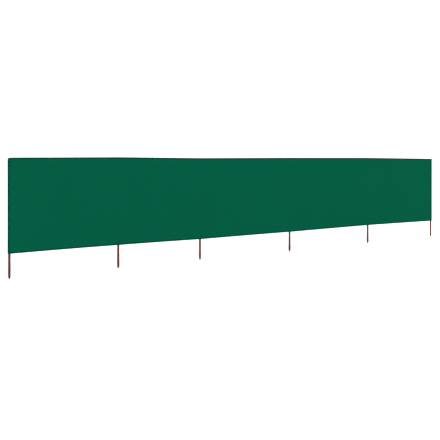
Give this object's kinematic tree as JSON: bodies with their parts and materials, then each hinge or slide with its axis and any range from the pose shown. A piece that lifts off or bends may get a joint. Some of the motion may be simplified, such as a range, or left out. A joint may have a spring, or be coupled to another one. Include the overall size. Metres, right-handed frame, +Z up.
{
  "type": "beach windbreak",
  "caption": "Long strip of green cloth held upright by pointed wooden stakes in sewn pockets; it stands in sand as a low screen and folds at each inner stake.",
  "frame": {"origin": "centre of the blunt foot of stake_1, the end stake on the low X side", "axes": "+X along the row from stake_1 to stake_6, +Z up the stakes, front of the cloth towards -Y"},
  "size_m": [6.0228, 0.0994, 1.01],
  "materials": {
    "green_polyester": "woven, matt",
    "hem_tape": "folded and stitched hem of the same cloth",
    "stained_wood": "turned softwood, reddish-brown stain, satin"
  },
  "bodies": {
    "bay_1": {"stake_1": "stained_wood", "pocket_1": "green_polyester", "cloth_1": "green_polyester", "top_hem_1": "hem_tape", "bottom_hem_1": "hem_tape", "stake_2": "stained_wood", "pocket_2": "green_polyester"},
    "bay_2": {"cloth_2": "green_polyester", "top_hem_2": "hem_tape", "bottom_hem_2": "hem_tape", "stake_3": "stained_wood", "pocket_3": "green_polyester"},
    "bay_3": {"cloth_3": "green_polyester", "top_hem_3": "hem_tape", "bottom_hem_3": "hem_tape", "stake_4": "stained_wood", "pocket_4": "green_polyester"},
    "bay_4": {"cloth_4": "green_polyester", "top_hem_4": "hem_tape", "bottom_hem_4": "hem_tape", "stake_5": "stained_wood", "pocket_5": "green_polyester"},
    "bay_5": {"cloth_5": "green_polyester", "top_hem_5": "hem_tape", "bottom_hem_5": "hem_tape", "stake_6": "stained_wood", "pocket_6": "green_polyester"}
  },
  "joints": [
    {"name": "fold_at_stake_2", "type": "hinge", "parent": "bay_1", "child": "bay_2", "pos_m": [1.0748, -0.02064, 0], "axis": [0, 0, 1], "range_deg": [-90, 90]},
    {"name": "fold_at_stake_3", "type": "hinge", "parent": "bay_2", "child": "bay_3", "pos_m": [2.05973, -0.0086, 0], "axis": [0, 0, -1], "range_deg": [-90, 90]},
    {"name": "fold_at_stake_4", "type": "hinge", "parent": "bay_3", "child": "bay_4", "pos_m": [3.27306, -0.07219, 0], "axis": [0, 0, 1], "range_deg": [-90, 90]},
    {"name": "fold_at_stake_5", "type": "hinge", "parent": "bay_4", "child": "bay_5", "pos_m": [4.64771, -0.041, 0], "axis": [0, 0, -1], "range_deg": [-90, 90]}
  ]
}
